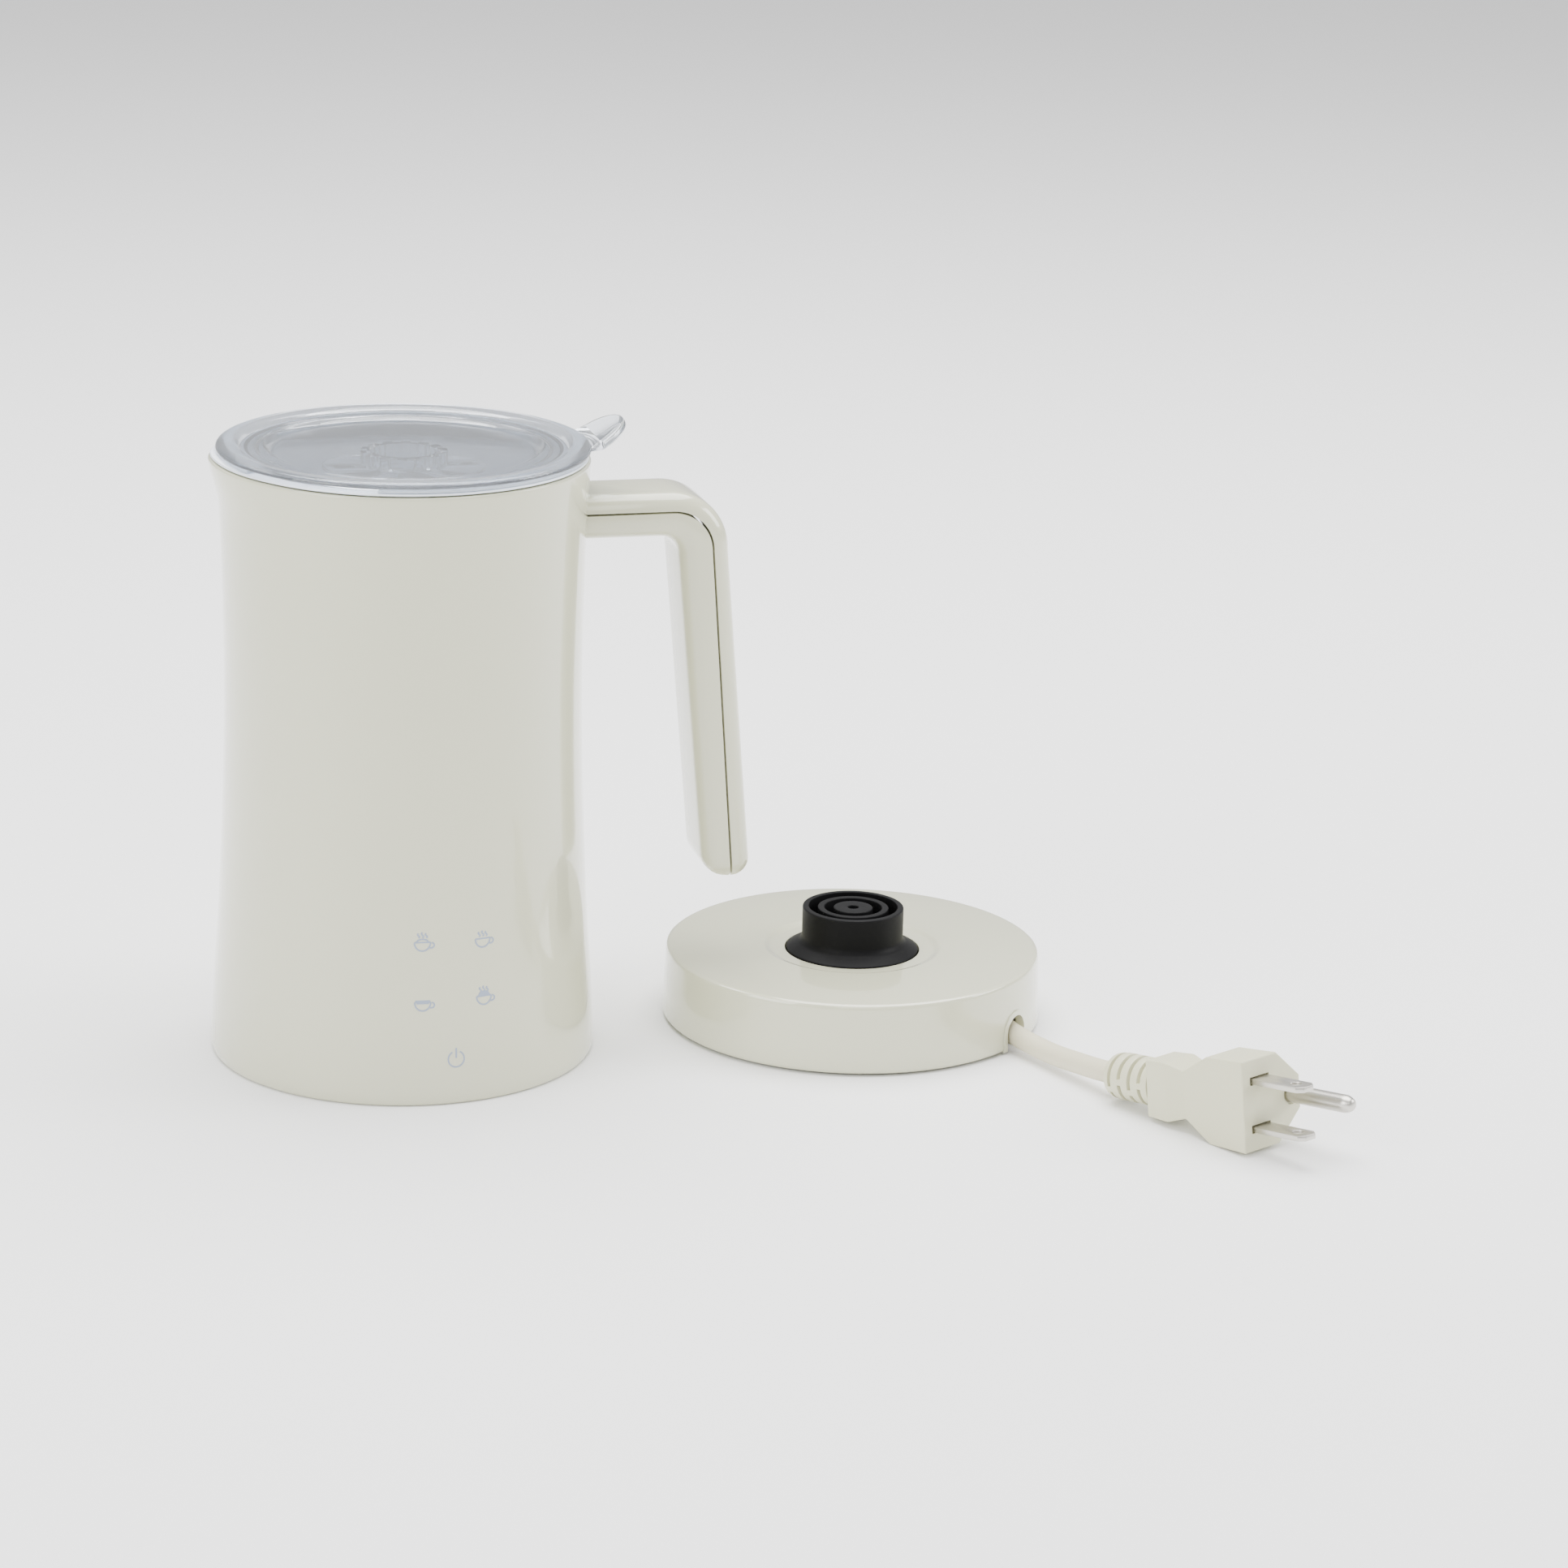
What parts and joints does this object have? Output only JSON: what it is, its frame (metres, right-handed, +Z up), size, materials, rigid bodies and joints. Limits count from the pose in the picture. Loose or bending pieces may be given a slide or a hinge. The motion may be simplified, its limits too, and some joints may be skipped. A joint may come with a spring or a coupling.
{
  "type": "milk frother",
  "caption": "Cordless milk-frothing jug with a clear lid, side handle and driven whisk, beside its round powered base with a coiled mains lead and plug.",
  "frame": {"origin": "on the table under the middle of the box around the jug and base, measured without the mains lead and plug", "axes": "+Z up; +X from the jug to the base, which is also the way the jug handle points; the touch panel faces mostly -Y"},
  "size_m": [0.2731, 0.1916, 0.171],
  "materials": {
    "cream_shell": "moulded gloss cream",
    "cream_plastic": "satin cream",
    "black_plastic": "satin black",
    "steel": "brushed",
    "brass": "plain",
    "nickel": "bright nickel plate",
    "aluminium": "cast",
    "clear_lid": "clear moulded plastic",
    "silicone": "translucent silicone",
    "grey_seal": "grey rubber",
    "foot_rubber": "soft rubber",
    "circuit": "green board",
    "magnet": "plated magnet"
  },
  "bodies": {
    "power_base": {"base_cover": "cream_shell", "base_plate": "cream_plastic", "contact_tower": "black_plastic", "outer_contact": "brass", "inner_contact": "brass", "centre_contact": "brass", "lead_anchor": "cream_plastic", "terminal_block": "cream_plastic", "foot_1": "foot_rubber", "foot_2": "foot_rubber", "foot_3": "foot_rubber", "foot_4": "foot_rubber", "base_screw_1": "steel", "base_screw_2": "steel", "base_screw_3": "steel", "cord_coil": "cream_plastic", "cord_relief": "cream_plastic", "cord_lead": "cream_plastic", "plug_body": "cream_plastic", "plug_boot": "cream_plastic", "earth_pin": "nickel", "upper_blade": "nickel", "lower_blade": "nickel"},
    "jug": {"outer_shell": "cream_shell", "inner_liner": "steel", "liner_seal": "grey_seal", "whisk_spindle": "steel", "heater_plate": "aluminium", "heater_ring": "steel", "temperature_sensor": "black_plastic", "motor_can": "steel", "inner_frame": "cream_plastic", "control_board": "circuit", "relay": "black_plastic", "capacitor": "steel", "touch_board": "circuit", "touch_pad_1": "foot_rubber", "touch_pad_2": "foot_rubber", "touch_pad_3": "foot_rubber", "touch_pad_4": "foot_rubber", "touch_pad_5": "foot_rubber", "bottom_cover": "cream_plastic", "jug_socket": "black_plastic", "socket_pin": "brass", "cover_screw_1": "steel", "cover_screw_2": "steel", "cover_screw_3": "steel", "handle_body": "cream_shell", "handle_strip": "cream_shell", "handle_bolt_1": "steel", "handle_bolt_2": "steel"},
    "rotor": {"motor_shaft": "steel", "magnet_carrier": "black_plastic", "drive_magnet_1": "magnet", "drive_magnet_2": "magnet"},
    "whisk": {"whisk_body": "black_plastic", "whisk_spring": "steel"},
    "lid": {"lid_panel": "clear_lid", "lid_gasket": "silicone", "spare_whisk": "clear_lid"}
  },
  "joints": [
    {"name": "jug_lift", "type": "slide", "parent": "power_base", "child": "jug", "axis": [0, 0, 1], "range_m": [0, 0.15]},
    {"name": "lid_lift", "type": "slide", "parent": "jug", "child": "lid", "axis": [0, 0, 1], "range_m": [0, 0.12]},
    {"name": "whisk_spin", "type": "hinge", "parent": "jug", "child": "whisk", "pos_m": [-0.06295, 0, 0.0532], "axis": [0, 0, 1], "continuous": true},
    {"name": "rotor_spin", "type": "hinge", "parent": "jug", "child": "rotor", "pos_m": [-0.06295, 0, 0.0406], "axis": [0, 0, 1], "continuous": true}
  ],
  "couplings": [
    {"joint": "rotor_spin", "follows": "whisk_spin", "ratio": 1}
  ]
}
